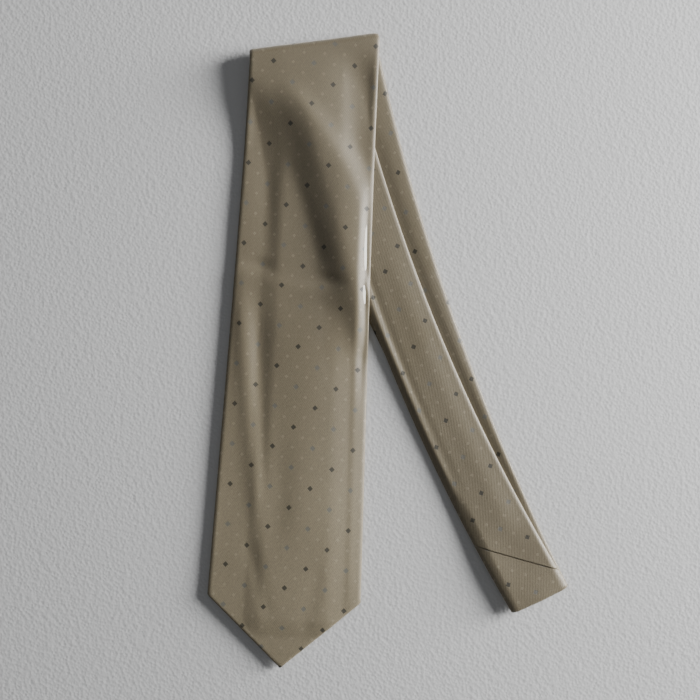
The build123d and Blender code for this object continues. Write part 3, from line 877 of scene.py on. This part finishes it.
def threads(name, runs, radius, thread, body, node):
    """Short threads, each a run of points, as one piece."""
    points, faces = [], []
    sides = 7
    for run in runs:
        run = np.array(run)
        base = len(points)
        tangent = np.gradient(run, axis=0)
        tangent /= np.linalg.norm(tangent, axis=1)[:, None]
        side = np.cross(tangent, [0, 0, 1.0])
        side /= np.linalg.norm(side, axis=1)[:, None] + 1e-12
        up = np.cross(side, tangent)
        swell = np.sqrt(np.clip(1 - np.linspace(-1, 1, len(run)) ** 8, 0.02, 1))
        for i, point in enumerate(run):
            for k in range(sides):
                a = 2 * math.pi * k / sides
                points.append(point + radius * swell[i] * (math.cos(a) * side[i] + math.sin(a) * up[i]))
        for i in range(len(run) - 1):
            for k in range(sides):
                j = (k + 1) % sides
                faces.append([base + i * sides + k, base + i * sides + j,
                              base + (i + 1) * sides + j, base + (i + 1) * sides + k])
        faces.append([base + k for k in range(sides)])
        faces.append([base + (len(run) - 1) * sides + k for k in reversed(range(sides))])
    mesh = bpy.data.meshes.new(name)
    mesh.from_pydata([tuple(p) for p in points], [], faces)
    mesh.polygons.foreach_set("use_smooth", [True] * len(faces))
    obj = bpy.data.objects.new(name, mesh)
    bpy.context.scene.collection.objects.link(obj)
    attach(obj, body)
    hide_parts(node)
    dress(obj, thread)


def slip_stitches(place, s_from, s_to):
    """Slip stitches that slant a little over the centre seam, each dipping into the cloth at its ends."""
    depth = -LAYER_THICK / 2 - 0.22 * MM + SEAM_SINK
    share = np.linspace(0, 1, 6)
    dip = 0.25 * MM * (2 * share - 1) ** 4
    return [place(s + STITCH * share, 0.5 * MM * (share - 0.5), depth + dip)
            for s in np.arange(s_from, s_to, STITCH_PITCH)]


def bar_tack(place, s, half):
    """Threads side by side across the seam, on the back of the cloth."""
    share = np.linspace(-1, 1, 9)
    return [place(s + offset + 0 * share, half * share, -LAYER_THICK / 2 - 0.15 * MM * (1 - share ** 4))
            for offset in np.linspace(-0.7, 0.7, 5) * MM]


def seam_stitches(seam_s):
    """Machine stitches that show in the valley of a bias seam."""
    half = neck.half(seam_s) - 2.5 * MM
    runs = []
    for t in np.arange(-half, half, MACHINE_PITCH):
        share = np.linspace(0, 1, 4)
        across = t + MACHINE_STITCH * share
        runs.append(on_neck(seam_s + across, across, LAYER_THICK / 2 - SEAM_SINK + 0 * share))
    return runs


def build_sewn(cloth):
    thread = cloth["thread"]
    blade_seam_end, tail_seam_end = blade.length - BLADE_OPENING, tail.length - TAIL_OPENING
    runs = slip_stitches(on_blade, 12 * MM, blade_seam_end - 8 * MM)
    threads("blade_slip_stitches", runs, THREAD_R, thread, "front_blade", "blade_slip_stitch")
    runs = slip_stitches(on_tail, 12 * MM, tail_seam_end - 8 * MM)
    threads("tail_slip_stitches", runs, THREAD_R, thread, "tail", "tail_slip_stitch")
    runs = slip_stitches(on_back, 8 * MM, BACK_LIFT - 24 * MM)
    threads("return_slip_stitches", runs, THREAD_R, thread, "neck_base", "return_slip_stitch")
    runs = slip_stitches(on_neck, HIDDEN_SEAM + 24 * MM, NECK_LIFT - 24 * MM)
    threads("neck_slip_stitches_base", runs, THREAD_R, thread, "neck_base", "neck_base_slip_stitch")
    runs = slip_stitches(on_back, BACK_LIFT + 18 * MM, BACK_END - 14 * MM)
    runs += slip_stitches(on_neck, NECK_LIFT + 18 * MM, NECK_END - 52 * MM)
    threads("neck_slip_stitches_loop", runs, THREAD_R, thread, "neck_loop", "neck_loop_slip_stitch")
    runs = bar_tack(on_blade, blade_seam_end - 2 * MM, 4 * MM)
    threads("front_bar_tack", runs, 0.2 * MM, thread, "front_blade", "blade_bar_tack")
    runs = bar_tack(on_tail, tail_seam_end - 2 * MM, 3 * MM)
    threads("tail_end_bar_tack", runs, 0.2 * MM, thread, "tail", "tail_bar_tack")
    runs = seam_stitches(NECK_END - FRONT_SEAM)
    threads("front_seam_stitches", runs, 0.1 * MM, thread, "neck_loop", "front_join_stitches")
    runs = seam_stitches(HIDDEN_SEAM)
    threads("tail_seam_stitches", runs, 0.1 * MM, thread, "neck_base", "tail_join_stitches")
    back_cut = (BLADE_OPENING, BLADE_HEM, BLADE_LAP)
    tipping("front_tipping", blade, on_blade, back_cut, "front_blade", "blade_tipping", cloth)
    back_cut = (TAIL_OPENING, TAIL_HEM, TAIL_LAP)
    tipping("tail_end_tipping", tail, on_tail, back_cut, "tail", "tail_tipping", cloth)
    build_keeper(cloth)
    build_label(cloth)


def keeper_section(half):
    """The band across the tie, t and rise from its bottom, 0, to the blade's back, 1, at even steps."""
    corners = [(-half - KEEPER_FOOT, 1), (-half - 0.8 * MM, 1), (-half, 0.75), (-half + 0.2 * MM, 0.25),
               (-half + 1.2 * MM, 0)]
    path = np.array(corners + [(-t, rise) for t, rise in reversed(corners)])
    steps = np.hypot(np.diff(path[:, 0]), 2 * MM * np.diff(path[:, 1]))
    length = np.concatenate([[0], np.cumsum(steps)])
    fine = np.linspace(0, length[-1], 120)
    return fine, np.interp(fine, length, path[:, 0]), np.interp(fine, length, path[:, 1])


def build_keeper(cloth):
    """A silk band across the blade's back with the tail held under it, and the tacks of its two feet."""
    low, high = (np.array(p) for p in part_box("keeper_loop"))
    middle = (low + high) / 2
    s = float(np.interp(-middle[1], -blade.y, blade.s))
    centre = (middle[0] - blade.at(s, 0.0)[0]) / math.cos(blade.read(s, blade.heading))
    half = (high[0] - low[0]) / 2 - 6 * MM
    bottom = 0.32 * MM

    def under(s, t):
        return np.maximum(blade_height(s, t) - LAYER_THICK / 2 - 0.3 * MM, bottom + 0.05 * MM)
    fine, offset, rise = keeper_section(half)
    t = centre + offset
    rows, uv = [], []
    for across in np.linspace(-1, 1, 13) * KEEPER_HALF_WIDTH:
        along_s = s + across + 0 * t
        x, y = blade.at(along_s, t)
        rows.append(np.stack([x, y, bottom + (under(along_s, t) - bottom) * rise], -1))
        uv.append(np.stack([0.3 + fine, across + 0 * t], -1))
    obj = grid("keeper_loop_band", np.array(rows), np.array(uv), 0.35 * MM)
    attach(obj, "front_blade")
    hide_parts("keeper_loop")
    dress(obj, cloth["silk"])
    share = np.linspace(-1, 1, 9)
    runs = []
    for side in (-1, 1):
        for shift in (-0.3 * MM, 0.3 * MM):
            along_s, t = s + 4 * MM * share, centre + side * (half + KEEPER_FOOT / 2) + shift + 0 * share
            x, y = blade.at(along_s, t)
            runs.append(np.stack([x, y, under(along_s, t) - 0.28 * MM + 0.15 * MM * share ** 4], -1))
    threads("keeper_end_tacks", runs, 0.15 * MM, cloth["thread"], "front_blade", "keeper_tacks")


def build_label(cloth):
    """A blank woven label on the blade's back, and a tack at each of its corners."""
    low, high = (np.array(p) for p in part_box("blank_label"))
    s = float(np.interp(-(low[1] + high[1]) / 2, -blade.y, blade.s))
    depth = -LAYER_THICK / 2 - 0.3 * MM
    half_across, half_along = LABEL_HALF
    span = along(blade, on_blade, s - half_along, s + half_along, 0, 0, 0, 1)
    span.half = lambda share: half_across
    obj, _ = sheet("blank_woven_label", [span], 0, depth, 0.2 * MM, 40, 1 * MM)
    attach(obj, "front_blade")
    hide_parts("blank_label")
    dress(obj, cloth["label"])
    share = np.linspace(-1, 1, 7)
    lower = depth - 0.22 * MM + 0.15 * MM * share ** 4
    runs = [on_blade(s + i * 6 * MM + 0 * share, j * 14 * MM + 1.2 * MM * share, lower)
            for i in (-1, 1) for j in (-1, 1)]
    threads("label_corner_tacks", runs, THREAD_R, cloth["thread"], "front_blade", "label_tacks")


CAMERA_HEIGHT = 0.7
CAMERA_REACH = 0.213
CAMERA_SHIFT = (-23 * MM, 0.5 * MM)
LAMPS = {"key": ((1.6, 0.25, 0.50), 0.9, 100), "fill": ((-0.5, 0.5, 1.9), 2.2, 3)}
SKY, SKY_STRENGTH = (0.75, 0.77, 0.8, 1), 0.13
FLOOR_HALF = 4


def place_camera(centre):
    lens = bpy.data.cameras.new("camera")
    camera = bpy.data.objects.new("camera", lens)
    camera.location = (*centre, CAMERA_HEIGHT)
    lens.angle = 2 * math.atan(CAMERA_REACH / CAMERA_HEIGHT)
    bpy.context.scene.collection.objects.link(camera)
    bpy.context.scene.camera = camera


def place_floor():
    corners = [(x * FLOOR_HALF, y * FLOOR_HALF, 0) for x, y in ((-1, -1), (1, -1), (1, 1), (-1, 1))]
    mesh = bpy.data.meshes.new("floor")
    mesh.from_pydata(corners, [], [(0, 1, 2, 3)])
    floor = bpy.data.objects.new("floor", mesh)
    floor.data.materials.append(floor_material())
    bpy.context.scene.collection.objects.link(floor)
    return floor


def place_lamp(name, centre):
    """A round lamp that points at the tie."""
    place, size, power = LAMPS[name]
    light = bpy.data.lights.new(name, "AREA")
    light.shape, light.size, light.energy = "DISK", size, power
    lamp = bpy.data.objects.new(name, light)
    lamp.location = place
    lamp.rotation_euler = (Vector((*centre, 0)) - Vector(place)).to_track_quat("-Z", "Y").to_euler()
    bpy.context.scene.collection.objects.link(lamp)
    return lamp


def camera_and_light():
    """The camera looks straight down; a low key light from the right shows the relief."""
    middle = (np.array(cad_bounds[0]) + np.array(cad_bounds[1])) / 2
    centre = (middle[0] + CAMERA_SHIFT[0], middle[1] + CAMERA_SHIFT[1])
    place_camera(centre)
    floor = place_floor()
    lamps = [place_lamp(name, centre) for name in LAMPS]
    world = bpy.data.worlds.new("world")
    world.use_nodes = True
    background = world.node_tree.nodes["Background"]
    background.inputs[0].default_value = SKY
    background.inputs[1].default_value = SKY_STRENGTH
    bpy.context.scene.world = world


cloth = {
    "silk": silk_material(),
    "lining": plain_cloth("satin_lining", (0.36, 0.32, 0.25), 0.35 * MM, 0.38, 0.02 * MM, 0.85),
    "wool": plain_cloth("wool_interlining", (0.74, 0.72, 0.65), 0.9 * MM, 0.95, 0.12 * MM),
    "label": plain_cloth("label_satin", (0.10, 0.085, 0.06), 0.4 * MM, 0.5, 0.03 * MM),
    "thread": thread_material(),
}
for piece in ("front_shell", "front_shell_neck_end", "neck_shell", "tail_shell_piece"):
    dress(bpy.data.objects[piece], cloth["silk"])
build_inside(cloth)
build_sewn(cloth)
camera_and_light()
